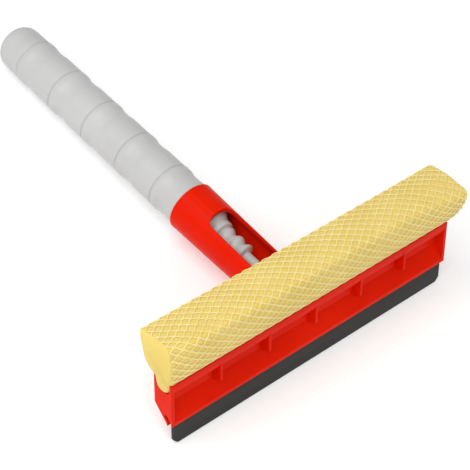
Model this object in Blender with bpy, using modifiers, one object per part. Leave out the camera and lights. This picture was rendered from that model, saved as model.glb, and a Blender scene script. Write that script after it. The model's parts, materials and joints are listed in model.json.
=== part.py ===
"""Window cleaning squeegee: a screw-in hollow handle, a moulded head that carries a
netted sponge on top and a rubber blade below.

World frame: metres, +Z up, +X along the head, +Y from the head to the handle's far end.
The squeegee lies on the ground plane Z = 0, on its blade edge and the end of its handle.

Head outlines are drawn in the head's own plane: first value to the back, second value up,
both in millimetres from the bottom front edge of the head.
Handle outlines are drawn as radius and distance along the handle's axis, in millimetres.
"""
import math

import bmesh
import bpy
from mathutils import Matrix, Vector

MM = 0.001

# Head
HEAD_LENGTH = 200.0
HEAD_HEIGHT = 26.9
HEAD_DEPTH = 14.0
WALL = 1.3
END_PLATE = 2.0
END_RECESS = 0.8
RIB_THICKNESS = 1.6
RIB_COUNT = 5
TROUGH_CENTRE = (7.0, 24.5)
TROUGH_RADIUS = 5.7
WEB_HALF = 0.8

# Handle and its thread
HANDLE_ANGLE = math.radians(12.0)
AXIS_HEIGHT = 11.2
RIM_STATION = 102.4
TIP_STATION = 265.3
END_RADIUS = 13.65
END_FILLET = 8.0
END_FILLET_STATION = 256.3
GRIP_RADIUS = 14.15
COLLAR_STEP = 0.25
VALLEY_DEPTH = 0.6
RING_PITCH = 30.6
FIRST_RING = 120.8
RING_COUNT = 5
HANDLE_WALL = 1.8
NECK_RADIUS = 8.1
ROOT_RADIUS = 4.8
CREST_RADIUS = 6.8
CORE_RADIUS = 3.4
THREAD_PITCH = 7.7
THREAD_TURNS = 2.2
THREAD_START = 58.6
SPIGOT_END = 34.0

# Socket
SOCKET_RIM_RADIUS = 15.05
SOCKET_ROOT_RADIUS = 13.3
SOCKET_MOUTH_RADIUS = 14.3
SOCKET_MOUTH_DEPTH = 18.2
SOCKET_START = 9.0
POCKET_RADIUS = 12.2
POCKET_START = 36.0
WINDOW_END = 81.0
WINDOW_HALF = 9.2
WINDOW_DEPTH = 1.0
WINDOW_CORNER = 5.5

# Rubber blade
BLADE_HALF_LENGTH = 98.0
BLADE_FRONT = 1.1
BLADE_THICKNESS = 2.0
BLADE_REACH = 13.4
BLADE_CHAMFER = 2.5

# Sponge, net and glue
FIT_GAP = 0.35
NET_THICKNESS = 0.7
SPONGE_TOP = 54.5
SPONGE_MIDDLE = 6.2
SPONGE_HALF_DEPTH = 13.0
SPONGE_FLARE = 3.5
GLUE_HALF_ANGLE = math.radians(34.0)

TURN_STEPS = 28


def arc(centre, radius, start, end, steps):
    """Points on an arc; angles in degrees, anticlockwise positive."""
    points = []
    for step in range(steps + 1):
        angle = math.radians(start + (end - start) * step / steps)
        points.append((centre[0] + radius * math.cos(angle), centre[1] + radius * math.sin(angle)))
    return points


def blade_back_edge():
    return (BLADE_FRONT + BLADE_THICKNESS, -BLADE_REACH)


def along_and_below(point):
    """A head-plane point as distance along the handle's axis and distance below it."""
    back = point[0]
    up = point[1] - AXIS_HEIGHT
    along = back * math.cos(HANDLE_ANGLE) + up * math.sin(HANDLE_ANGLE)
    below = back * math.sin(HANDLE_ANGLE) - up * math.cos(HANDLE_ANGLE)
    return along, below


def lying_angle():
    """How far the handle points down when the blade edge and the handle's end touch the ground."""
    along, below = along_and_below(blade_back_edge())
    return math.atan2(below - END_RADIUS, END_FILLET_STATION - along)


LIE = lying_angle()
TILT = HANDLE_ANGLE + LIE


def head_matrix():
    """Head plane to world: tilted back, lowest edge on the ground, centred along Y."""
    turn = Matrix.Rotation(-TILT, 4, "X")
    low_edge = turn @ Vector((0.0, blade_back_edge()[0], blade_back_edge()[1]))
    front_edge = turn @ Vector((0.0, BLADE_FRONT, -BLADE_REACH))
    axis_start = turn @ Vector((0.0, 0.0, AXIS_HEIGHT))
    tip_y = axis_start.y + TIP_STATION * math.cos(LIE)
    shift = Vector((0.0, -(front_edge.y + tip_y) / 2.0, -low_edge.z))
    return Matrix.Translation(shift * MM) @ turn


HEAD = head_matrix()
HANDLE = HEAD @ Matrix.Translation((0.0, 0.0, AXIS_HEIGHT * MM)) @ Matrix.Rotation(
    HANDLE_ANGLE - math.pi / 2.0, 4, "X"
)


def clear_scene():
    for old in list(bpy.data.objects):
        bpy.data.objects.remove(old, do_unlink=True)


def make_collection(name):
    collection = bpy.data.collections.new(name)
    bpy.context.scene.collection.children.link(collection)
    return collection


def make_datum(name, matrix, collection):
    datum = bpy.data.objects.new(name, None)
    datum.empty_display_size = 0.02
    datum.matrix_world = matrix
    collection.objects.link(datum)
    return datum


def make_material(name, colour, roughness, metallic=0.0):
    material = bpy.data.materials.new(name)
    material.use_nodes = True
    shader = material.node_tree.nodes["Principled BSDF"]
    shader.inputs["Base Color"].default_value = (*colour, 1.0)
    shader.inputs["Roughness"].default_value = roughness
    shader.inputs["Metallic"].default_value = metallic
    return material


def place(obj, collection, datum):
    collection.objects.link(obj)
    obj.parent = datum
    return obj


def as_cutter(obj, cutters):
    for collection in list(obj.users_collection):
        collection.objects.unlink(obj)
    cutters.objects.link(obj)
    obj.hide_render = True
    obj.display_type = "WIRE"
    return obj


def outline_solid(name, points, low_x, high_x, collection, datum):
    """A flat head-plane outline given thickness along X, as a welded mesh."""
    curve = bpy.data.curves.new(name, "CURVE")
    curve.dimensions = "2D"
    curve.fill_mode = "BOTH"
    curve.extrude = (high_x - low_x) / 2.0 * MM
    spline = curve.splines.new("POLY")
    spline.points.add(len(points) - 1)
    for target, point in zip(spline.points, points):
        target.co = (point[0] * MM, point[1] * MM, 0.0, 1.0)
    spline.use_cyclic_u = True
    guide = bpy.data.objects.new(name + "_outline", curve)
    collection.objects.link(guide)
    depsgraph = bpy.context.evaluated_depsgraph_get()
    mesh = bpy.data.meshes.new_from_object(guide.evaluated_get(depsgraph))
    bpy.data.objects.remove(guide, do_unlink=True)
    bpy.data.curves.remove(curve)
    # local x, y, z of the outline become back, up and X
    turn = Matrix(((0, 0, 1, (low_x + high_x) / 2.0 * MM), (1, 0, 0, 0), (0, 1, 0, 0), (0, 0, 0, 1)))
    mesh.transform(turn)
    bm = bmesh.new()
    bm.from_mesh(mesh)
    bmesh.ops.remove_doubles(bm, verts=bm.verts, dist=0.00001)
    bmesh.ops.recalc_face_normals(bm, faces=bm.faces)
    bm.to_mesh(mesh)
    bm.free()
    return place(bpy.data.objects.new(name, mesh), collection, datum)


def turned_solid(name, profile, collection, datum, steps=TURN_STEPS):
    """A turned shape about the datum's Z axis; the profile runs down its outer side."""
    mesh = bpy.data.meshes.new(name)
    bm = bmesh.new()
    verts = [bm.verts.new((radius * MM, 0.0, station * MM)) for radius, station in profile]
    for first, second in zip(verts, verts[1:]):
        bm.edges.new((first, second))
    bm.to_mesh(mesh)
    bm.free()
    obj = place(bpy.data.objects.new(name, mesh), collection, datum)
    screw = obj.modifiers.new("turn", "SCREW")
    screw.axis = "Z"
    screw.steps = steps
    screw.render_steps = steps
    screw.use_merge_vertices = True
    screw.merge_threshold = 0.00005
    return obj


def helix_ridge(name, section, start, turns, pitch, collection, datum, steps_per_turn):
    """A closed ridge: a radius and station section swept along a helix about the datum's Z axis."""
    steps = max(4, round(steps_per_turn * turns))
    bm = bmesh.new()
    turn = Matrix.Rotation(start, 4, "Z")
    verts = [bm.verts.new(turn @ Vector((radius * MM, 0.0, station * MM))) for radius, station in section]
    face = bm.faces.new(verts)
    bmesh.ops.spin(
        bm,
        geom=[face],
        cent=(0.0, 0.0, 0.0),
        axis=(0.0, 0.0, 1.0),
        dvec=(0.0, 0.0, pitch * turns * MM / steps),
        angle=turns * 2.0 * math.pi,
        steps=steps,
        use_duplicate=False,
    )
    bmesh.ops.recalc_face_normals(bm, faces=bm.faces)
    mesh = bpy.data.meshes.new(name)
    bm.to_mesh(mesh)
    bm.free()
    return place(bpy.data.objects.new(name, mesh), collection, datum)


def combine(target, tool, operation, cutters):
    boolean = target.modifiers.new(tool.name, "BOOLEAN")
    boolean.operation = operation
    boolean.solver = "EXACT"
    boolean.object = as_cutter(tool, cutters)


def join_bodies(name, objects, collection, datum):
    """Several separate meshes as one object, for a single Boolean."""
    bm = bmesh.new()
    for obj in objects:
        bm.from_mesh(obj.data)
        bpy.data.objects.remove(obj, do_unlink=True)
    mesh = bpy.data.meshes.new(name)
    bm.to_mesh(mesh)
    bm.free()
    return place(bpy.data.objects.new(name, mesh), collection, datum)


def shade(obj, material, angle=35.0):
    obj.data.materials.clear()
    obj.data.materials.append(material)
    obj.data.shade_smooth()
    obj.data.set_sharp_from_angle(angle=math.radians(angle))


# ---------------------------------------------------------------- head outlines


def head_section():
    """Trough, web and blade channel in one outline, before the blade channel is cut."""
    outer = TROUGH_RADIUS + WALL
    back = TROUGH_CENTRE[0]
    shell_front = arc(TROUGH_CENTRE, outer, 180.0, 263.0, 7)
    shell_back = arc(TROUGH_CENTRE, outer, 277.0, 360.0, 7)
    inner = arc(TROUGH_CENTRE, TROUGH_RADIUS, 0.0, -180.0, 14)
    channel = [(back + WEB_HALF, 10.5), (8.2, 4.5), (5.6, -0.9), (3.4, -0.9)]
    channel += [(1.6, 0.0), (0.0, 0.0), (0.0, 2.2)]
    top_back = [(HEAD_DEPTH, HEAD_HEIGHT), (HEAD_DEPTH - WALL, HEAD_HEIGHT)]
    top_front = [(WALL, HEAD_HEIGHT), (0.0, HEAD_HEIGHT)]
    return (
        top_back
        + inner
        + top_front
        + shell_front
        + [(back - WEB_HALF, 17.4), (back - WEB_HALF, 10.5)]
        + list(reversed(channel))
        + [(back + WEB_HALF, 17.4)]
        + shell_back
    )


def blade_slot():
    """The channel that the blade's heel slides in, open at the bottom and at both ends."""
    return [
        (0.8, -2.0),
        (3.4, -2.0),
        (3.4, 0.7),
        (5.4, 1.2),
        (6.65, 2.9),
        (6.1, 4.9),
        (4.1, 5.35),
        (2.2, 3.75),
        (0.8, 1.7),
    ]


def blade_section():
    """A straight wiping strip with a heel behind its top edge."""
    back = BLADE_FRONT + BLADE_THICKNESS
    return [
        (BLADE_FRONT, -BLADE_REACH),
        (back, -BLADE_REACH),
        (back, 1.05),
        (5.25, 1.55),
        (6.3, 3.0),
        (5.85, 4.6),
        (4.2, 5.0),
        (2.4, 3.5),
        (BLADE_FRONT, 1.6),
    ]


def end_outline():
    """The plate that closes each end of the head."""
    trough = arc(TROUGH_CENTRE, TROUGH_RADIUS, 0.0, -180.0, 12)
    low = [(0.0, 0.0), (1.6, 0.0), (3.4, -0.9), (5.6, -0.9), (HEAD_DEPTH, 8.2)]
    return (
        [(HEAD_DEPTH, HEAD_HEIGHT), (HEAD_DEPTH - WALL, HEAD_HEIGHT)]
        + trough
        + [(WALL, HEAD_HEIGHT), (0.0, HEAD_HEIGHT)]
        + low
    )


def end_recess():
    """The back part of each end plate, which stands a little lower than its front part."""
    return [(2.4, 32.0), (2.4, 22.3), (7.5, 10.6), (4.1, -0.4), (4.1, -4.0), (18.0, -4.0), (18.0, 32.0)]


def front_rib():
    return [(0.15, 25.0), (0.15, 11.4), (5.2, 9.0), (7.0, 9.0), (7.0, 18.2), (3.2, 19.2), (1.0, 22.0)]


def back_rib():
    return [(13.85, 25.0), (13.0, 22.0), (10.8, 19.2), (7.0, 18.2), (7.0, 4.5), (8.0, 4.4), (13.85, 10.6)]


def root_block():
    """Solid web where the handle's socket grows out of the back."""
    return [(7.0, 3.0), (8.0, 3.0), (HEAD_DEPTH, 8.2), (HEAD_DEPTH, 25.2), (7.0, 25.2)]


def sponge_outline(grow=0.0):
    """Bell-shaped section: narrow in the trough, wide and flat on top. Grow swells it evenly."""
    centre, middle = TROUGH_CENTRE, SPONGE_MIDDLE
    root = TROUGH_RADIUS - NET_THICKNESS - 2.0 * FIT_GAP
    half = SPONGE_HALF_DEPTH
    corner = 3.2
    waist = HEAD_HEIGHT + 1.4
    bottom = arc(centre, root, 180.0, 360.0, 12)
    right = [(centre[0] + root, waist), (middle + 8.6, 32.0), (middle + 11.6, 37.0), (middle + 12.8, 43.5)]
    top_right = arc((middle + half - corner, SPONGE_TOP - corner), corner, 0.0, 90.0, 4)
    top_left = arc((middle - half + corner, SPONGE_TOP - corner), corner, 90.0, 180.0, 4)
    left = [(middle - 12.8, 43.5), (middle - 11.6, 37.0), (middle - 8.6, 32.0), (centre[0] - root, waist)]
    points = bottom + right + top_right + [(middle, SPONGE_TOP + 0.3)] + top_left + left
    return offset_outline(points, grow)


def offset_outline(points, distance):
    """Move each point of a closed anticlockwise outline outwards."""
    moved = []
    for index, point in enumerate(points):
        before = Vector(points[index - 1])
        after = Vector(points[(index + 1) % len(points)])
        here = Vector(point)
        first = (here - before).normalized()
        second = (after - here).normalized()
        normal = (Vector((first.y, -first.x)) + Vector((second.y, -second.x))).normalized()
        spread = max(0.5, normal.dot(Vector((first.y, -first.x))))
        moved.append(tuple(here + normal * (distance / spread)))
    return moved


def net_outline():
    """The net as a thin band over the sponge, open at the bottom of the trough."""
    skipped = 4
    bottom_points = 13
    inner = sponge_outline(FIT_GAP)
    outer = sponge_outline(FIT_GAP + NET_THICKNESS)
    first = bottom_points - skipped
    order = list(range(first, len(inner))) + list(range(0, skipped))
    return [outer[index] for index in order] + [inner[index] for index in reversed(order)]


def glue_outline():
    half = math.degrees(GLUE_HALF_ANGLE)
    low = arc(TROUGH_CENTRE, TROUGH_RADIUS - FIT_GAP, 270.0 - half, 270.0 + half, 6)
    high = arc(TROUGH_CENTRE, TROUGH_RADIUS - NET_THICKNESS - FIT_GAP - 0.05, 270.0 + half, 270.0 - half, 6)
    return low + high


# ---------------------------------------------------------------- handle outlines


def grip_profile():
    """The moulded grip from its closed end down to the shoulder: rings with shallow valleys between."""
    profile = [(0.0, TIP_STATION)]
    fillet_centre = (END_RADIUS - END_FILLET, END_FILLET_STATION)
    profile += [point for point in reversed(arc(fillet_centre, END_FILLET, 0.0, 90.0, 5))]
    for ring in reversed(range(RING_COUNT)):
        station = FIRST_RING + ring * RING_PITCH
        last = ring == RING_COUNT - 1
        plateau = GRIP_RADIUS - 0.4 if last else GRIP_RADIUS
        collar = plateau + COLLAR_STEP
        valley = GRIP_RADIUS - VALLEY_DEPTH
        profile += [
            (plateau, station + 0.2),
            (collar, station - 0.1),
            (collar, station - 3.6),
            (valley + 0.25, station - 6.2),
            (valley, station - 8.0),
            (valley, station - 11.5),
        ]
        if ring > 0:
            profile += [(GRIP_RADIUS - 0.15, station - 14.5), (GRIP_RADIUS, station - 17.0)]
    shoulder = RIM_STATION - SOCKET_MOUTH_DEPTH + 1.0
    profile += [(13.9, RIM_STATION + 3.0), (13.9, shoulder + 1.5), (12.6, shoulder)]
    return profile


def spigot_profile():
    shoulder = RIM_STATION - SOCKET_MOUTH_DEPTH + 1.0
    return [
        (NECK_RADIUS + 3.5, shoulder),
        (NECK_RADIUS, shoulder - 5.0),
        (NECK_RADIUS, 75.9),
        (NECK_RADIUS - 0.5, 75.3),
        (ROOT_RADIUS, 75.3),
        (ROOT_RADIUS, 57.0),
        (CORE_RADIUS, 56.4),
        (CORE_RADIUS, SPIGOT_END + 0.8),
        (CORE_RADIUS - 0.8, SPIGOT_END),
    ]


def hollow_profile():
    """The inside wall, from the hole in the spigot's end up to the closed end."""
    inside = GRIP_RADIUS - VALLEY_DEPTH - HANDLE_WALL
    return [
        (1.6, SPIGOT_END),
        (1.6, 76.0),
        (5.6, 79.0),
        (5.6, 85.0),
        (inside, 91.0),
        (inside, END_FILLET_STATION),
        (inside - 6.0, TIP_STATION - 3.2),
        (0.0, TIP_STATION - 2.0),
    ]


def crest_section():
    """One rounded thread crest, its foot sunk in the root."""
    half_width = 3.0
    foot = ROOT_RADIUS - 0.8
    height = CREST_RADIUS - ROOT_RADIUS + 0.2
    crown = arc((0.0, 0.0), 1.0, 180.0, 0.0, 6)
    points = [(foot, THREAD_START - half_width)]
    points += [(ROOT_RADIUS - 0.2 + height * up, THREAD_START + half_width * along) for along, up in crown]
    points += [(foot, THREAD_START + half_width)]
    return points


def lug_section(station):
    """A narrow thread lug that stands in from the pocket's lower wall."""
    foot = POCKET_RADIUS + 0.8
    tip = 5.9
    return [(tip, station - 0.3), (tip, station + 0.3), (foot, station + 0.9), (foot, station - 0.9)]


def socket_profile():
    """From the blind end of the pilot bore, out through pocket and mouth, then down the outside."""
    pilot = CORE_RADIUS + 0.4
    floor = RIM_STATION - SOCKET_MOUTH_DEPTH
    return [
        (0.0, SPIGOT_END - 3.0),
        (pilot, SPIGOT_END - 3.0),
        (pilot, POCKET_START + 1.5),
        (POCKET_RADIUS, POCKET_START + 1.5),
        (POCKET_RADIUS, floor),
        (SOCKET_MOUTH_RADIUS, floor),
        (SOCKET_MOUTH_RADIUS, RIM_STATION),
        (SOCKET_RIM_RADIUS - 0.35, RIM_STATION),
        (SOCKET_RIM_RADIUS, RIM_STATION - 0.45),
        (SOCKET_RIM_RADIUS - 0.15, RIM_STATION - 4.0),
        (SOCKET_ROOT_RADIUS, SOCKET_START),
        (0.0, SOCKET_START),
    ]


# ---------------------------------------------------------------- pieces


def build_window_cutter(collection, datum):
    """The opening in the socket's top, in the handle's own frame, where local -Y is up."""
    bm = bmesh.new()
    corner = WINDOW_CORNER
    far = arc((WINDOW_HALF - corner, WINDOW_END - corner), corner, 0.0, 90.0, 4)
    far += arc((corner - WINDOW_HALF, WINDOW_END - corner), corner, 90.0, 180.0, 4)
    near = [(-WINDOW_HALF, POCKET_START), (WINDOW_HALF, POCKET_START)]
    verts = [bm.verts.new((x * MM, WINDOW_DEPTH * MM, station * MM)) for x, station in far + near]
    face = bm.faces.new(verts)
    raised = bmesh.ops.extrude_face_region(bm, geom=[face])
    top = [item for item in raised["geom"] if isinstance(item, bmesh.types.BMVert)]
    bmesh.ops.translate(bm, verts=top, vec=(0.0, -2.0 * SOCKET_RIM_RADIUS * MM, 0.0))
    bmesh.ops.recalc_face_normals(bm, faces=bm.faces)
    mesh = bpy.data.meshes.new("window_opening")
    bm.to_mesh(mesh)
    bm.free()
    return place(bpy.data.objects.new("window_opening", mesh), collection, datum)


def build_head_frame(parts, cutters, head_datum, handle_datum, material):
    half = HEAD_LENGTH / 2.0
    frame = outline_solid("head_frame", head_section(), -half + 0.4, half - 0.4, parts, head_datum)
    plates = []
    for side in (-1.0, 1.0):
        low, high = sorted((side * (half - END_PLATE), side * half))
        plates.append(outline_solid("end_plate", end_outline(), low, high, cutters, head_datum))
    combine(frame, join_bodies("end_plates", plates, cutters, head_datum), "UNION", cutters)
    recesses = []
    for side in (-1.0, 1.0):
        low, high = sorted((side * (half - END_RECESS), side * (half + 4.0)))
        recesses.append(outline_solid("end_recess", end_recess(), low, high, cutters, head_datum))
    combine(frame, join_bodies("end_recesses", recesses, cutters, head_datum), "DIFFERENCE", cutters)
    ribs = []
    spacing = HEAD_LENGTH / (RIB_COUNT + 1)
    for index in range(RIB_COUNT):
        middle = (index - (RIB_COUNT - 1) / 2.0) * spacing
        low = middle - RIB_THICKNESS / 2.0
        high = middle + RIB_THICKNESS / 2.0
        ribs.append(outline_solid("front_rib", front_rib(), low, high, cutters, head_datum))
        if index != RIB_COUNT // 2:
            ribs.append(outline_solid("back_rib", back_rib(), low + 0.02, high - 0.02, cutters, head_datum))
    combine(frame, join_bodies("ribs", ribs, cutters, head_datum), "UNION", cutters)
    block = outline_solid("socket_root", root_block(), -13.0, 13.0, cutters, head_datum)
    combine(frame, block, "UNION", cutters)
    tube = turned_solid("socket_tube", socket_profile(), cutters, handle_datum)
    combine(frame, tube, "UNION", cutters)
    trough = arc(TROUGH_CENTRE, TROUGH_RADIUS - 0.02, 180.0, 360.0, 14) + [
        (HEAD_DEPTH - WALL - 0.02, HEAD_HEIGHT + 6.0),
        (WALL + 0.02, HEAD_HEIGHT + 6.0),
    ]
    clearance = outline_solid("trough_space", trough, -20.0, 20.0, cutters, head_datum)
    combine(frame, clearance, "DIFFERENCE", cutters)
    slot = outline_solid("blade_channel", blade_slot(), -half - 5.0, half + 5.0, cutters, head_datum)
    combine(frame, slot, "DIFFERENCE", cutters)
    combine(frame, build_window_cutter(cutters, handle_datum), "DIFFERENCE", cutters)
    lugs = []
    reach = math.radians(80.0)
    for turn in range(2):
        station = THREAD_START + THREAD_PITCH * (turn + 0.5 + 0.14)
        lugs.append(
            helix_ridge(
                "thread_lug",
                lug_section(station),
                math.radians(50.0),
                reach / (2.0 * math.pi),
                THREAD_PITCH,
                cutters,
                handle_datum,
                24,
            )
        )
    combine(frame, join_bodies("thread_lugs", lugs, cutters, handle_datum), "UNION", cutters)
    shade(frame, material)
    return frame


def build_handle(parts, cutters, handle_datum, material):
    profile = grip_profile() + spigot_profile() + hollow_profile()
    handle = turned_solid("handle", profile, parts, handle_datum)
    thread = helix_ridge(
        "thread", crest_section(), 0.0, THREAD_TURNS, THREAD_PITCH, cutters, handle_datum, 20
    )
    combine(handle, thread, "UNION", cutters)
    shade(handle, material)
    return handle


def shift_ends(obj, levels, inward):
    """Cut an X-long solid at some heights, then move its end points in or out along X."""
    bm = bmesh.new()
    bm.from_mesh(obj.data)
    for level in levels:
        bmesh.ops.bisect_plane(
            bm,
            geom=list(bm.verts) + list(bm.edges) + list(bm.faces),
            plane_co=(0.0, 0.0, level * MM),
            plane_no=(0.0, 0.0, 1.0),
            dist=0.00001,
        )
    for vert in bm.verts:
        side = 1.0 if vert.co.x > 0.0 else -1.0
        vert.co.x -= side * inward(vert.co.z / MM) * MM
    bmesh.ops.recalc_face_normals(bm, faces=bm.faces)
    bm.to_mesh(obj.data)
    bm.free()


def build_blade(parts, head_datum, material):
    blade = outline_solid(
        "rubber_blade", blade_section(), -BLADE_HALF_LENGTH, BLADE_HALF_LENGTH, parts, head_datum
    )
    level = BLADE_CHAMFER - BLADE_REACH
    shift_ends(blade, [level], lambda height: max(0.0, level - height))
    shade(blade, material)
    return blade


def flare(height):
    """The foam swells past the head's ends above the trough, less again near its top."""
    rise = min(1.0, max(0.0, (height - HEAD_HEIGHT) / 14.0))
    return -SPONGE_FLARE * math.sin(rise * math.pi / 2.0)


def build_soft_parts(parts, head_datum, foam, net, glue):
    half = HEAD_LENGTH / 2.0
    levels = [HEAD_HEIGHT + step for step in (0.0, 4.6, 9.0, 14.0)]
    sponge = outline_solid("sponge", sponge_outline(), -half, half, parts, head_datum)
    shift_ends(sponge, levels, flare)
    shade(sponge, foam, 60.0)
    cover = outline_solid("net_cover", net_outline(), -half, half, parts, head_datum)
    shift_ends(cover, levels, flare)
    shade(cover, net, 60.0)
    bead = outline_solid("adhesive_bead", glue_outline(), -half + 4.0, half - 4.0, parts, head_datum)
    shade(bead, glue)


def main():
    clear_scene()
    parts = make_collection("window_cleaning_squeegee")
    cutters = make_collection("cutters")
    head_datum = make_datum("head_datum", HEAD, parts)
    handle_datum = make_datum("handle_datum", HANDLE, parts)
    red = make_material("red_plastic", (0.80, 0.03, 0.008), 0.32)
    white = make_material("white_plastic", (0.66, 0.67, 0.68), 0.42)
    rubber = make_material("black_rubber", (0.025, 0.026, 0.022), 0.55)
    foam = make_material("yellow_foam", (0.80, 0.62, 0.16), 0.95)
    net = make_material("cream_net", (0.86, 0.74, 0.42), 0.85)
    glue = make_material("clear_glue", (0.75, 0.70, 0.55), 0.30)
    build_head_frame(parts, cutters, head_datum, handle_datum, red)
    build_handle(parts, cutters, handle_datum, white)
    build_blade(parts, head_datum, rubber)
    build_soft_parts(parts, head_datum, foam, net, glue)
    bpy.context.view_layer.update()


main()
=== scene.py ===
import json
import math

import bpy
import numpy as np
from mathutils import Matrix, Quaternion, Vector
from mathutils.kdtree import KDTree


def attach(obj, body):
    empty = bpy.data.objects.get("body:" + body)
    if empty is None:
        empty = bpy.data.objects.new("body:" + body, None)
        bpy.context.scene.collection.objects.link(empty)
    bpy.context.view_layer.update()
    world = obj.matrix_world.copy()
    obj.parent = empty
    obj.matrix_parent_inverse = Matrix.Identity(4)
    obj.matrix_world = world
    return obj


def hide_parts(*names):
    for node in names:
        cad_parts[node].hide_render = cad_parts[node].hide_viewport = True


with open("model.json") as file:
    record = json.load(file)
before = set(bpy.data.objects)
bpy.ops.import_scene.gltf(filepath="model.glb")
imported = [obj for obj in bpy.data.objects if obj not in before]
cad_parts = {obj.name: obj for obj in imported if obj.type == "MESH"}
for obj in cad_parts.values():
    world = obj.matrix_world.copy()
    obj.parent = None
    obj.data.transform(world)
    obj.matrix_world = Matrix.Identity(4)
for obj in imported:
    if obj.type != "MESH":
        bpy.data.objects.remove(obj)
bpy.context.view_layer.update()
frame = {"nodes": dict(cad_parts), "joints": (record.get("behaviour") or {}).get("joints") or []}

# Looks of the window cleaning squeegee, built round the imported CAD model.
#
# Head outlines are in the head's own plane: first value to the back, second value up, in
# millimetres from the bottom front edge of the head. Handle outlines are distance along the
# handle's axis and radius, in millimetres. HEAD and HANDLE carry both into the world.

MM = 0.001
SMOOTH_ANGLE = math.radians(32.0)

# The head's plane and the handle's axis, from the joint that turns the handle
HANDLE_ANGLE = math.radians(12.0)
AXIS_HEIGHT = 11.2
TURN_JOINT = next(joint for joint in frame["joints"] if joint["name"] == "handle_turn")
AXIS_POINT = Vector(TURN_JOINT["pos_m"])
LIE = math.atan2(-TURN_JOINT["axis"][2], TURN_JOINT["axis"][1])
TILT = HANDLE_ANGLE + LIE
HEAD = (
    Matrix.Translation(AXIS_POINT)
    @ Matrix.Rotation(-TILT, 4, "X")
    @ Matrix.Translation((0.0, 0.0, -AXIS_HEIGHT * MM))
)
HANDLE = Matrix.Translation(AXIS_POINT) @ Matrix.Rotation(-LIE - math.pi / 2.0, 4, "X")

# Camera and lights
TARGET = Vector((0.0123, -0.0534, 0.0129))
CAMERA_AZIMUTH = math.radians(-52.38)
CAMERA_ELEVATION = math.radians(47.36)
CAMERA_ROLL = math.radians(14.82)
CAMERA_DISTANCE = 0.9317
CAMERA_LENS = 129.46
SENSOR = 36.0

# Foam bar
HEAD_HALF = 100.0
HEAD_HEIGHT = 26.9
TROUGH_CENTRE = (7.0, 24.5)
NECK_HALF = 5.2
FOAM_MIDDLE = 6.2
FOAM_HALF_DEPTH = 13.0
FOAM_TOP = 54.5
FOAM_CORNER = 3.0
FOAM_BACK_CORNER = 1.8
FOAM_FLARE = 3.5
FRONT_SIDE = [(-6.6, 47.0), (-5.9, 41.5), (-4.4, 36.0), (-2.4, 31.6), (-0.2, 28.6), (1.5, 27.3)]
BACK_SIDE = [(12.6, 27.6), (13.6, 30.0), (15.2, 35.0), (17.0, 41.5), (18.6, 48.0)]
END_TUCK = 4.0
END_TUCK_LENGTH = 9.0
END_SAG = 3.0
END_SAG_LENGTH = 25.0
FOAM_STEP = 0.6
END_ROUND = 1.3
END_CROWN = 1.2
CAP_RINGS = 16
CAP_CENTRE = (6.2, 42.0)
PAD_VOXEL = 4.5
PAD_CAP = 0.8
PAD_PRESSURE = 4.0
PAD_FRAMES = 20
PINNED_BELOW = 29.0

# Net
CELL_LENGTH = 6.75
CELL_HEIGHT = 5.0
YARN_RADIUS = 0.42
YARN_FLATNESS = 0.7
YARN_LIFT = 0.06
YARN_SIDES = 6
YARN_STEP = 0.5
ROW_SLOPE = 0.01
NET_PULL = 0.16
NET_SHEAR = 0.15
FLANK_CONTRAST = 0.26
NET_END = 0.992
DIMPLE_DEPTH = 0.22
DIMPLE_WIDTH = 1.0
PUFF_HEIGHT = 0.14
PUFF_WIDTH = 1.7

# Handle
HANDLE_SIDES = 96
HANDLE_STEP = 0.35
THREAD_PITCH = 7.7
THREAD_NOTCH = 62.45
THREAD_RISE = 2.0
THREAD_SPAN = (56.4, 75.3)
FIRST_RING = 120.8
RING_PITCH = 30.6
RING_COUNT = 5
GRIP_RADIUS = 14.15
COLLAR_RADIUS = 14.4
VALLEY_RADIUS = 13.55
GROOVE_RADIUS = 12.9
END_RADIUS = 13.65
END_FILLET = 8.0
END_STATION = 256.9
TIP_STATION = 265.3


def mesh_object(name, points, faces, body, material):
    """A mesh in world metres that rides on a body."""
    mesh = bpy.data.meshes.new(name)
    mesh.from_pydata([tuple(point) for point in points], [], faces)
    mesh.validate()
    mesh.shade_smooth()
    obj = bpy.data.objects.new(name, mesh)
    bpy.context.scene.collection.objects.link(obj)
    mesh.materials.append(material)
    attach(obj, body)
    return obj


def to_world(matrix, points):
    """Points in millimetres of a local frame as world metres."""
    turn = np.array(matrix.to_3x3())
    return points * MM @ turn.T + np.array(matrix.translation)


def arc(centre, radius, start, end, steps):
    angles = np.radians(np.linspace(start, end, steps + 1))
    return [(centre[0] + radius * math.cos(angle), centre[1] + radius * math.sin(angle)) for angle in angles]


# ---------------------------------------------------------------- materials


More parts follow.
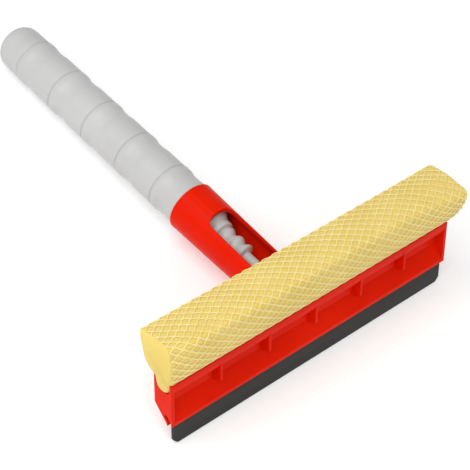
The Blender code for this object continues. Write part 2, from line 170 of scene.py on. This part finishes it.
class Surface:
    """A Principled material and the few node chains that every surface here is made of."""

    def __init__(self, name, colour, roughness):
        self.material = bpy.data.materials.new(name)
        self.material.use_nodes = True
        self.nodes = self.material.node_tree.nodes
        self.links = self.material.node_tree.links
        self.shader = self.nodes["Principled BSDF"]
        self.shader.inputs["Base Color"].default_value = (*colour, 1.0)
        self.shader.inputs["Roughness"].default_value = roughness
        self.place = self.nodes.new("ShaderNodeTexCoord").outputs["Object"]
        self.height = None

    def set(self, **values):
        for name, value in values.items():
            self.shader.inputs[name.replace("_", " ")].default_value = value
        return self

    def stretched(self, scale):
        mapping = self.nodes.new("ShaderNodeMapping")
        mapping.inputs["Scale"].default_value = scale
        self.links.new(self.place, mapping.inputs["Vector"])
        return mapping.outputs["Vector"]

    def noise(self, scale, detail=3.0, where=None):
        noise = self.nodes.new("ShaderNodeTexNoise")
        noise.inputs["Scale"].default_value = scale
        noise.inputs["Detail"].default_value = detail
        self.links.new(where or self.place, noise.inputs["Vector"])
        return noise.outputs["Fac"]

    def pores(self, scale):
        voronoi = self.nodes.new("ShaderNodeTexVoronoi")
        voronoi.inputs["Scale"].default_value = scale
        self.links.new(self.place, voronoi.inputs["Vector"])
        return voronoi.outputs["Distance"]

    def ramp(self, factor, stops):
        """Stops are (position, colour); a single number stands for a grey."""
        ramp = self.nodes.new("ShaderNodeValToRGB")
        while len(ramp.color_ramp.elements) < len(stops):
            ramp.color_ramp.elements.new(1.0)
        for element, (position, colour) in zip(ramp.color_ramp.elements, stops):
            element.position = position
            element.color = (*colour, 1.0) if isinstance(colour, tuple) else (colour, colour, colour, 1.0)
        self.links.new(factor, ramp.inputs["Fac"])
        return ramp.outputs["Color"]

    def mix(self, factor, first, second, blend="MIX"):
        mix = self.nodes.new("ShaderNodeMix")
        mix.data_type = "RGBA"
        mix.blend_type = blend
        if isinstance(factor, float):
            mix.inputs["Factor"].default_value = factor
        else:
            self.links.new(factor, mix.inputs["Factor"])
        self.links.new(first, mix.inputs[6])
        self.links.new(second, mix.inputs[7])
        return mix.outputs[2]

    def colour_from(self, output):
        self.links.new(output, self.shader.inputs["Base Color"])
        return self

    def roughness_from(self, output):
        self.links.new(output, self.shader.inputs["Roughness"])
        return self

    def bump(self, height, strength, distance):
        """Adds one layer of relief over those already there; distance is in metres."""
        bump = self.nodes.new("ShaderNodeBump")
        bump.inputs["Strength"].default_value = strength
        bump.inputs["Distance"].default_value = distance
        self.links.new(height, bump.inputs["Height"])
        if self.height is not None:
            self.links.new(self.height, bump.inputs["Normal"])
        self.height = bump.outputs["Normal"]
        self.links.new(self.height, self.shader.inputs["Normal"])
        return self

    def rounded(self, radius):
        """Shades sharp edges as if they were rounded a little; radius is in metres."""
        bevel = self.nodes.new("ShaderNodeBevel")
        bevel.samples = 6
        bevel.inputs["Radius"].default_value = radius
        self.height = bevel.outputs["Normal"]
        return self

    def edges(self, low, high):
        """How sharply the surface turns at a point, as a mask from 0 to 1; it places the painted edge
        highlights.
        """
        pointiness = self.nodes.new("ShaderNodeNewGeometry").outputs["Pointiness"]
        return self.ramp(pointiness, [(low, 0.0), (high, 1.0)])


def red_plastic():
    surface = Surface("moulded_red_plastic", (0.72, 0.008, 0.001), 0.38)
    surface.set(Subsurface_Weight=0.05, Subsurface_Radius=(0.004, 0.001, 0.0005), Subsurface_Scale=0.3)
    surface.set(Specular_IOR_Level=0.05)
    flow = surface.noise(26.0, 4.0)
    body = surface.ramp(flow, [(0.3, (0.68, 0.010, 0.0004)), (0.7, (0.76, 0.015, 0.0006))])
    # Lighter red on sharp edges, from pointiness: a painted edge highlight on the red plastic.
    painted_edge_highlight_red = surface.ramp(surface.noise(3.0, 0.0), [(0.0, (0.82, 0.02, 0.008)), (1.0, (0.86, 0.03, 0.012))])
    surface.colour_from(surface.mix(surface.edges(0.56, 0.72), body, painted_edge_highlight_red))
    surface.roughness_from(surface.ramp(surface.noise(90.0, 5.0), [(0.3, 0.30), (0.75, 0.44)]))
    surface.rounded(0.00045)
    surface.bump(surface.noise(1500.0, 2.0), 0.06, 0.0001)
    surface.bump(surface.noise(55.0, 2.0), 0.10, 0.0004)
    return surface.material


def white_plastic():
    surface = Surface("moulded_white_plastic", (0.54, 0.54, 0.535), 0.42)
    surface.set(Subsurface_Weight=0.12, Subsurface_Radius=(0.003, 0.003, 0.0028), Subsurface_Scale=0.5)
    surface.set(Specular_IOR_Level=0.35)
    body = surface.ramp(surface.noise(18.0, 4.0), [(0.3, (0.49, 0.49, 0.487)), (0.7, (0.525, 0.525, 0.52))])
    surface.colour_from(body)
    surface.roughness_from(surface.ramp(surface.noise(140.0, 4.0), [(0.3, 0.36), (0.75, 0.50)]))
    surface.bump(surface.noise(2200.0, 2.0), 0.08, 0.0001)
    surface.bump(surface.noise(40.0, 2.0, surface.stretched((1.0, 0.25, 1.0))), 0.12, 0.0004)
    return surface.material


def black_rubber():
    surface = Surface("black_rubber", (0.014, 0.014, 0.013), 0.55)
    surface.set(Specular_IOR_Level=0.07)
    streaks = surface.noise(60.0, 5.0, surface.stretched((0.25, 3.0, 3.0)))
    body = surface.ramp(streaks, [(0.3, (0.006, 0.006, 0.005)), (0.75, (0.012, 0.011, 0.010))])
    # Lighter grey on sharp edges, from pointiness: a painted edge highlight on the rubber.
    painted_edge_highlight_grey = surface.ramp(surface.noise(3.0, 0.0), [(0.0, (0.04, 0.04, 0.037)), (1.0, (0.05, 0.05, 0.046))])
    surface.colour_from(surface.mix(surface.edges(0.53, 0.66), body, painted_edge_highlight_grey))
    surface.roughness_from(surface.ramp(streaks, [(0.3, 0.45), (0.75, 0.62)]))
    surface.rounded(0.0003)
    surface.bump(surface.noise(1800.0, 2.0), 0.10, 0.0001)
    surface.bump(streaks, 0.08, 0.0003)
    return surface.material


def yellow_foam():
    surface = Surface("yellow_foam", (0.86, 0.66, 0.18), 0.95)
    surface.set(Subsurface_Weight=0.25, Subsurface_Radius=(0.004, 0.003, 0.001), Subsurface_Scale=0.5)
    surface.set(Specular_IOR_Level=0.1, Sheen_Weight=0.1, Sheen_Roughness=0.6)
    clouds = surface.ramp(surface.noise(45.0, 4.0), [(0.3, (0.76, 0.575, 0.14)), (0.75, (0.83, 0.645, 0.19))])
    small = surface.pores(2600.0)
    dots = surface.ramp(small, [(0.05, (0.66, 0.50, 0.16)), (0.38, (1.0, 1.0, 1.0))])
    surface.colour_from(surface.mix(0.4, clouds, dots, "MULTIPLY"))
    surface.bump(small, 0.35, 0.00035)
    surface.bump(surface.pores(900.0), 0.18, 0.0006)
    return surface.material


def cream_net():
    surface = Surface("cream_net", (0.94, 0.77, 0.33), 0.6)
    surface.set(Sheen_Weight=0.2, Sheen_Roughness=0.4, Specular_IOR_Level=0.2)
    surface.set(Subsurface_Weight=0.2, Subsurface_Radius=(0.002, 0.0015, 0.0008), Subsurface_Scale=0.4)
    tone = surface.ramp(surface.noise(120.0, 3.0), [(0.3, (0.86, 0.68, 0.26)), (0.7, (0.93, 0.77, 0.34))])
    surface.colour_from(tone)
    surface.bump(surface.noise(5200.0, 2.0), 0.5, 0.00018)
    return surface.material


def clear_glue():
    surface = Surface("clear_glue", (0.75, 0.70, 0.55), 0.25)
    surface.set(Transmission_Weight=0.35, IOR=1.48)
    tone = surface.ramp(surface.noise(160.0, 3.0), [(0.3, (0.68, 0.62, 0.46)), (0.7, (0.80, 0.75, 0.60))])
    surface.colour_from(tone)
    surface.bump(surface.noise(220.0, 3.0), 0.3, 0.0006)
    return surface.material


def pale_floor():
    surface = Surface("pale_floor", (0.74, 0.74, 0.74), 0.8)
    surface.set(Specular_IOR_Level=0.1, Emission_Color=(1.0, 1.0, 1.0, 1.0), Emission_Strength=0.32)
    surface.colour_from(surface.ramp(surface.noise(4.0, 2.0), [(0.3, 0.735), (0.7, 0.745)]))
    return surface.material


# ---------------------------------------------------------------- foam and net


def foam_section():
    """Corner points of the foam's section, anticlockwise from the front side of the trough."""
    middle, half, corner, back = FOAM_MIDDLE, FOAM_HALF_DEPTH, FOAM_CORNER, FOAM_BACK_CORNER
    points = arc(TROUGH_CENTRE, NECK_HALF, 180.0, 360.0, 12)
    points += BACK_SIDE
    points += arc((middle + half - back, FOAM_TOP - back + 0.6), back, 0.0, 90.0, 6)
    points += [(middle, FOAM_TOP + 0.6)]
    points += arc((middle - half + corner, FOAM_TOP - corner), corner, 90.0, 180.0, 6)
    points += FRONT_SIDE
    return np.array(points)


def evenly(points, step):
    """A closed outline with points a step apart, its corners rounded off."""
    closed = np.vstack([points, points[:1]])
    along = np.concatenate([[0.0], np.cumsum(np.hypot(*np.diff(closed, axis=0).T))])
    count = int(round(along[-1] / step))
    places = np.linspace(0.0, along[-1], count, endpoint=False)
    even = np.stack([np.interp(places, along, closed[:, axis]) for axis in range(2)], 1)
    for _ in range(6):
        even = 0.5 * even + 0.25 * (np.roll(even, 1, 0) + np.roll(even, -1, 0))
    return even


def outward(outline):
    """Unit normals of a closed anticlockwise outline."""
    along = np.roll(outline, -1, 0) - np.roll(outline, 1, 0)
    normal = np.stack([along[:, 1], -along[:, 0]], 1)
    return normal / np.linalg.norm(normal, axis=1)[:, None]


def end_reach(height):
    """How far the foam reaches from the middle of the head at some height."""
    rise = np.clip((height - HEAD_HEIGHT) / 14.0, 0.0, 1.0)
    return HEAD_HALF + FOAM_FLARE * np.sin(rise * math.pi / 2.0)


def swollen_pad():
    """How cloth pressure swells the plain foam solid: places on it, and how far each one moves."""
    source = frame["nodes"]["sponge"]
    pad = bpy.data.objects.new("pad", source.data.copy())
    bpy.context.scene.collection.objects.link(pad)
    remesh = pad.modifiers.new("remesh", "REMESH")
    remesh.mode = "VOXEL"
    remesh.voxel_size = PAD_VOXEL * MM
    evaluated = pad.evaluated_get(bpy.context.evaluated_depsgraph_get())
    even = bpy.data.meshes.new_from_object(evaluated)
    pad.modifiers.clear()
    pad.data = even
    head_points = [HEAD.inverted() @ vertex.co for vertex in even.vertices]
    pinned = [index for index, point in enumerate(head_points) if point.z < PINNED_BELOW * MM]
    before = np.array([vertex.co[:] for vertex in even.vertices])
    pad.vertex_groups.new(name="held").add(pinned, 1.0, "REPLACE")
    cloth = pad.modifiers.new("swell", "CLOTH")
    cloth.settings.vertex_group_mass = "held"
    cloth.settings.use_pressure = True
    cloth.settings.uniform_pressure_force = PAD_PRESSURE
    cloth.settings.effector_weights.gravity = 0.0
    cloth.settings.quality = 6
    cloth.point_cache.frame_end = PAD_FRAMES
    for step in range(1, PAD_FRAMES + 1):
        bpy.context.scene.frame_set(step)
    evaluated = pad.evaluated_get(bpy.context.evaluated_depsgraph_get())
    move = np.array([vertex.co[:] for vertex in evaluated.data.vertices]) - before
    move *= PAD_CAP * MM / (PAD_CAP * MM + np.linalg.norm(move, axis=1)[:, None])
    bpy.context.scene.frame_set(1)
    bpy.data.objects.remove(pad, do_unlink=True)
    return before, move


class FoamSkin:
    """The foam's surface as a grid: rows go round the section, columns along the head."""

    def __init__(self, swelling):
        self.outline = evenly(foam_section(), FOAM_STEP)
        self.normal = outward(self.outline)
        self.count = len(self.outline)
        turns = np.radians(np.linspace(90.0, 0.0, 5))[:-1]
        near = [(END_ROUND * (1.0 - math.sin(a)), END_ROUND * (1.0 - math.cos(a))) for a in turns[::-1]]
        columns = int(2.0 * (HEAD_HALF - END_ROUND) / FOAM_STEP)
        middle = np.linspace(-1.0, 1.0, columns)
        inner = HEAD_HALF - END_ROUND
        self.stations = [(-HEAD_HALF + away, inset) for away, inset in near[::-1]]
        self.stations += [(inner * place, 0.0) for place in middle]
        self.stations += [(HEAD_HALF - away, inset) for away, inset in near]
        self.along = np.array([station for station, _ in self.stations]) / HEAD_HALF
        self.points = self.grid()
        if swelling is not None:
            self.follow(*swelling)

    def grid(self):
        inset = np.array([inset for _, inset in self.stations])
        reach = end_reach(self.outline[:, 1])
        section = self.outline[:, None, :] - self.normal[:, None, :] * inset[None, :, None]
        across = self.along[None, :] * reach[:, None]
        height = np.clip((self.outline[:, 1] - 30.0) / 22.0, 0.0, 1.0)
        front = np.clip((FOAM_MIDDLE - self.outline[:, 0]) / FOAM_HALF_DEPTH, 0.0, 1.0)
        near_end = np.exp(-((HEAD_HALF * (1.0 + self.along) / END_TUCK_LENGTH) ** 2))
        far_end = np.exp(-((HEAD_HALF * (1.0 - self.along) / END_SAG_LENGTH) ** 2))
        section[..., 0] += (height * front)[:, None] * (END_TUCK * near_end - END_SAG * far_end)[None, :]
        section[..., 1] -= (height * front)[:, None] * 0.8 * END_SAG * far_end[None, :]
        local = np.stack([across, section[..., 0], section[..., 1]], -1)
        return to_world(HEAD, local.reshape(-1, 3)).reshape(local.shape)

    def follow(self, places, moves):
        """Take the swelling above the trough, averaged from the nearest places, and keep the neck still."""
        tree = KDTree(len(places))
        for index, point in enumerate(places):
            tree.insert(Vector(point), index)
        tree.balance()
        flat = self.points.reshape(-1, 3)
        swell = np.empty_like(flat)
        for index, point in enumerate(flat):
            near = tree.find_n(Vector(point), 8)
            weight = np.array([1.0 / (away + 0.0015) ** 2 for _, _, away in near])
            swell[index] = weight @ moves[[found for _, found, _ in near]] / weight.sum()
        share = np.clip((self.outline[:, 1] - PINNED_BELOW) / 4.0, 0.0, 1.0)
        swell *= np.repeat(share, len(self.stations))[:, None]
        self.points = (flat + swell).reshape(self.points.shape)

    def normals(self):
        round_it = np.roll(self.points, -1, 0) - np.roll(self.points, 1, 0)
        along = np.gradient(self.points, axis=1)
        normal = np.cross(along, round_it)
        normal /= np.linalg.norm(normal, axis=2)[..., None]
        centre = self.points.mean(axis=0, keepdims=True)
        facing = ((self.points - centre) * normal).sum()
        return normal if facing > 0.0 else -normal

    def at(self, row, along):
        """Place and normal at fractional row and share of the length, by blending the grid."""
        row = np.mod(row, self.count)
        column = np.interp(along, self.along, np.arange(len(self.along)))
        low_row = np.floor(row).astype(int)
        low_column = np.minimum(np.floor(column).astype(int), len(self.along) - 2)
        up = (row - low_row)[:, None]
        over = (column - low_column)[:, None]
        high_row = (low_row + 1) % self.count
        found = []
        for grid in (self.points, self.surface_normals):
            first = grid[low_row, low_column] * (1 - over) + grid[low_row, low_column + 1] * over
            second = grid[high_row, low_column] * (1 - over) + grid[high_row, low_column + 1] * over
            found.append(first * (1 - up) + second * up)
        return found


def net_rows(skin):
    """Rows of the grid where the net begins and ends, and where the front flank starts."""
    height = skin.outline[:, 1]
    low = int(np.argmin(height))
    corner = [FOAM_MIDDLE - FOAM_HALF_DEPTH + 1.0, FOAM_TOP - 1.0]
    top_front = int(np.argmin(np.abs(skin.outline - corner).sum(1)))
    skip = int(4.0 / FOAM_STEP)
    return low + skip, low + skin.count - skip, top_front


def yarn_paths(skin):
    """Each yarn runs along the foam in a zigzag and touches the yarns above and below in turn."""
    first, last, front = (row * FOAM_STEP for row in net_rows(skin))
    spacing = CELL_HEIGHT / 2.0
    swing = spacing / 2.0 - 0.85 * YARN_RADIUS
    end = HEAD_HALF + FOAM_FLARE
    across = np.arange(-end, end, YARN_STEP)
    start = first - ROW_SLOPE * end
    count = int((last - first + 2.0 * ROW_SLOPE * end) / spacing)
    paths = []
    for index in range(count):
        middle = start + index * spacing + ROW_SLOPE * across
        depth = np.maximum(0.0, middle - front)
        shift = NET_PULL * depth + NET_SHEAR * np.maximum(0.0, front - middle)
        phase = 2.0 * math.pi * (across - shift) / CELL_LENGTH
        side = 1.0 if index % 2 == 0 else -1.0
        wave = np.tanh(1.7 * np.sin(phase)) / math.tanh(1.7)
        around = middle + side * swing * wave
        thick = 1.0 + FLANK_CONTRAST * np.clip(depth / 4.0, 0.0, 1.0) * side * np.cos(phase)
        rows = around / FOAM_STEP
        height = np.interp(np.mod(rows, skin.count), np.arange(skin.count), skin.outline[:, 1])
        share = across / end_reach(height)
        shown = (np.abs(share) < NET_END) & (around > first) & (around < last)
        for run in np.split(np.arange(len(across)), np.where(np.diff(shown.astype(int)) != 0)[0] + 1):
            if shown[run[0]] and len(run) > 6:
                paths.append((rows[run], share[run], np.abs(wave[run]), thick[run]))
    return paths


def tube(points, normals, radius, offset, vertices, faces):
    """A closed tube of some sides along points, added to lists of vertices and faces."""
    along = np.gradient(points, axis=0)
    along /= np.linalg.norm(along, axis=1)[:, None]
    side = np.cross(along, normals)
    side /= np.linalg.norm(side, axis=1)[:, None]
    up = np.cross(side, along)
    angles = np.arange(YARN_SIDES) * 2.0 * math.pi / YARN_SIDES
    wide, tall = np.cos(angles)[None, :, None], YARN_FLATNESS * np.sin(angles)[None, :, None]
    ring = side[:, None, :] * wide + up[:, None, :] * tall
    shell = points[:, None, :] + ring * radius[:, None, None]
    vertices.append(shell.reshape(-1, 3))
    for step in range(len(points) - 1):
        low = offset + step * YARN_SIDES
        for turn in range(YARN_SIDES):
            following = (turn + 1) % YARN_SIDES
            faces.append((low + turn, low + following, low + YARN_SIDES + following, low + YARN_SIDES + turn))
    faces.append(tuple(offset + turn for turn in reversed(range(YARN_SIDES))))
    last = offset + (len(points) - 1) * YARN_SIDES
    faces.append(tuple(last + turn for turn in range(YARN_SIDES)))
    return offset + len(points) * YARN_SIDES


def build_net(skin, material):
    vertices, faces, centres = [], [], []
    offset = 0
    for rows, share, wave, thick in yarn_paths(skin):
        points, normals = skin.at(rows, share)
        centres.append(points)
        lifted = points + normals * (YARN_LIFT + 0.08 * wave)[:, None] * MM
        radius = YARN_RADIUS * MM * thick * (1.0 + 0.12 * wave)
        offset = tube(lifted, normals, radius, offset, vertices, faces)
    net = mesh_object("net_yarns", np.vstack(vertices), faces, "head", material)
    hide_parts("net_cover")
    return net, np.vstack(centres)


def press_in(skin, centres):
    """The yarns press into the foam, and it puffs up a little in each cell."""
    tree = KDTree(len(centres))
    for index, point in enumerate(centres):
        tree.insert(Vector(point), index)
    tree.balance()
    flat = skin.points.reshape(-1, 3)
    away = np.array([tree.find(Vector(point))[2] for point in flat]) / MM
    move = -DIMPLE_DEPTH * np.exp(-((away / DIMPLE_WIDTH) ** 2))
    move += PUFF_HEIGHT * (1.0 - np.exp(-((away / PUFF_WIDTH) ** 2))) * np.exp(-((away / 5.0) ** 4))
    above = np.clip((skin.outline[:, 1] - HEAD_HEIGHT) / 3.0, 0.0, 1.0)
    move *= np.repeat(above, len(skin.stations))
    shape = skin.points.shape
    return (flat + skin.surface_normals.reshape(-1, 3) * move[:, None] * MM).reshape(shape)


def build_foam(skin, centres, material):
    body = press_in(skin, centres)
    rows, columns = body.shape[:2]
    points = [body.reshape(-1, 3)]
    faces = []
    for row in range(rows):
        above = (row + 1) % rows
        for column in range(columns - 1):
            low, high = row * columns + column, above * columns + column
            faces.append((low, low + 1, high + 1, high))
    offset = rows * columns
    for column in (0, columns - 1):
        rim = body[:, column]
        centre_local = np.array([[skin.along[column] * end_reach(CAP_CENTRE[1]), *CAP_CENTRE]])
        centre = to_world(HEAD, centre_local)[0]
        out = np.array([1.0 if column else -1.0, 0.0, 0.0])
        before = [row * columns + column for row in range(rows)]
        for ring in range(1, CAP_RINGS):
            share = ring / CAP_RINGS
            crown = END_CROWN * MM * (1.0 - (1.0 - share) ** 2)
            points.append(rim + (centre - rim) * share + out * crown)
            now = list(range(offset, offset + rows))
            offset += rows
            for row in range(rows):
                above = (row + 1) % rows
                quad = (before[row], before[above], now[above], now[row])
                faces.append(quad if column == 0 else tuple(reversed(quad)))
            before = now
        points.append((centre + out * END_CROWN * MM)[None])
        for row in range(rows):
            corner = (before[row], before[(row + 1) % rows], offset)
            faces.append(corner if column == 0 else tuple(reversed(corner)))
        offset += 1
    foam = mesh_object("foam_bar", np.vstack(points), faces, "head", material)
    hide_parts("sponge")
    return foam


# ---------------------------------------------------------------- handle


def handle_outline():
    """Distance along the axis and radius, from the spigot's end up to the last fillet."""
    points = [(34.0, 2.4), (34.3, 3.0), (34.9, 3.4), (56.2, 3.4), (56.8, 4.4), (57.4, 4.8), (75.2, 4.8)]
    points += [(75.3, 7.0), (75.6, 7.8), (76.4, 8.1), (80.0, 8.1), (85.1, 11.6), (85.2, 12.6), (86.8, 13.9)]
    points += [(105.4, 13.9)]
    for ring in range(RING_COUNT):
        edge = FIRST_RING + ring * RING_PITCH
        if ring > 0:
            points += [(edge - 16.6, GRIP_RADIUS), (edge - 15.0, GRIP_RADIUS - 0.1)]
        points += [(edge - 11.5, VALLEY_RADIUS), (edge - 8.0, VALLEY_RADIUS)]
        points += [(edge - 6.4, VALLEY_RADIUS + 0.15)]
        collar = COLLAR_RADIUS if ring < RING_COUNT - 1 else COLLAR_RADIUS - 0.2
        points += [(edge - 4.4, collar - 0.1), (edge - 3.6, collar), (edge - 0.2, collar)]
        points += [(edge + 0.1, GROOVE_RADIUS), (edge + 0.5, GROOVE_RADIUS)]
        points += [(edge + 0.8, GRIP_RADIUS if ring < RING_COUNT - 1 else END_RADIUS + 0.15)]
    return np.array(points + [(END_STATION, END_RADIUS)])


def build_handle(material):
    """Closed end, grip, neck and thread as one grid round the axis."""
    outline = handle_outline()
    stations = np.arange(outline[0, 0], END_STATION, HANDLE_STEP)
    radius = np.interp(stations, outline[:, 0], outline[:, 1])
    radius[1:-1] = 0.6 * radius[1:-1] + 0.2 * (radius[:-2] + radius[2:])
    flat_end = END_RADIUS - END_FILLET
    dome = TIP_STATION - END_STATION - END_FILLET
    turned = arc((END_STATION, flat_end), END_FILLET, 90.0, 0.0, 12)
    shares = [1.0 - step / 5.0 for step in range(1, 5)]
    turned += [(TIP_STATION - dome * share**2, flat_end * share) for share in shares]
    stations = np.concatenate([stations, [station for station, _ in turned]])
    radius = np.concatenate([radius, [out for _, out in turned]])
    angles = np.arange(HANDLE_SIDES) * 2.0 * math.pi / HANDLE_SIDES
    low, high = THREAD_SPAN
    rise = np.clip((stations - low) / 2.2, 0.0, 1.0) * np.clip((high - stations) / 1.4, 0.0, 1.0)
    turns = math.pi * (stations[:, None] - THREAD_NOTCH) / THREAD_PITCH - angles[None, :] / 2.0
    out = radius[:, None] + THREAD_RISE * np.sin(rise * math.pi / 2.0)[:, None] * np.abs(np.sin(turns))
    along = np.repeat(stations[:, None], HANDLE_SIDES, 1)
    rings = np.stack([out * np.cos(angles), out * np.sin(angles), along], -1)
    ends = np.array([[0.0, 0.0, stations[0]], [0.0, 0.0, TIP_STATION]])
    points = to_world(HANDLE, np.vstack([rings.reshape(-1, 3), ends]))
    faces = []
    for station in range(len(stations) - 1):
        row = station * HANDLE_SIDES
        for turn in range(HANDLE_SIDES):
            after = (turn + 1) % HANDLE_SIDES
            faces.append((row + turn, row + after, row + HANDLE_SIDES + after, row + HANDLE_SIDES + turn))
    last = (len(stations) - 1) * HANDLE_SIDES
    near, far = len(points) - 2, len(points) - 1
    for turn in range(HANDLE_SIDES):
        after = (turn + 1) % HANDLE_SIDES
        faces.append((after, turn, near))
        faces.append((last + turn, last + after, far))
    handle = mesh_object("turned_handle", points, faces, "handle", material)
    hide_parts("handle")


# ---------------------------------------------------------------- stage


def build_floor():
    bpy.ops.mesh.primitive_plane_add(size=6.0, location=(0.0, 0.0, -0.0002))
    floor = bpy.context.object
    floor.name = "floor"
    floor.data.materials.append(pale_floor())


def area_light(name, place, size, power, aim=TARGET):
    light = bpy.data.lights.new(name, "AREA")
    light.size = size
    light.energy = power
    obj = bpy.data.objects.new(name, light)
    bpy.context.scene.collection.objects.link(obj)
    obj.location = place
    obj.rotation_euler = (Vector(aim) - Vector(place)).to_track_quat("-Z", "Y").to_euler()


def build_lights():
    world = bpy.data.worlds.new("studio")
    world.use_nodes = True
    background = world.node_tree.nodes["Background"]
    background.inputs["Color"].default_value = (1.0, 1.0, 1.0, 1.0)
    background.inputs["Strength"].default_value = 0.42
    bpy.context.scene.world = world
    area_light("key", (-0.7, 0.1, 1.25), 1.3, 17.0)
    area_light("left", (-1.35, -0.2, 0.45), 0.8, 0.5)
    area_light("front", (-0.2, -1.4, 0.85), 1.4, 6.0)


def build_camera():
    data = bpy.data.cameras.new("camera")
    data.sensor_width = SENSOR
    data.lens = CAMERA_LENS
    camera = bpy.data.objects.new("camera", data)
    bpy.context.scene.collection.objects.link(camera)
    flat = math.cos(CAMERA_ELEVATION)
    aside, ahead = math.sin(CAMERA_AZIMUTH) * flat, -math.cos(CAMERA_AZIMUTH) * flat
    back = Vector((aside, ahead, math.sin(CAMERA_ELEVATION)))
    camera.location = TARGET + back * CAMERA_DISTANCE
    camera.rotation_mode = "QUATERNION"
    camera.rotation_quaternion = (-back).to_track_quat("-Z", "Y") @ Quaternion((0.0, 0.0, 1.0), CAMERA_ROLL)
    bpy.context.scene.camera = camera


def finish_node(name, material):
    """A CAD node that keeps its shape: smooth where it curves, sharp at its edges."""
    node = frame["nodes"][name]
    node.data.materials.clear()
    node.data.materials.append(material)
    node.data.shade_smooth()
    node.data.set_sharp_from_angle(angle=SMOOTH_ANGLE)


def main():
    bpy.context.scene.view_settings.view_transform = "Standard"
    build_camera()
    build_lights()
    build_floor()
    finish_node("head_frame", red_plastic())
    build_handle(white_plastic())
    finish_node("rubber_blade", black_rubber())
    finish_node("adhesive_bead", clear_glue())
    skin = FoamSkin(swollen_pad())
    skin.surface_normals = skin.normals()
    net, centres = build_net(skin, cream_net())
    foam = build_foam(skin, centres, yellow_foam())


main()
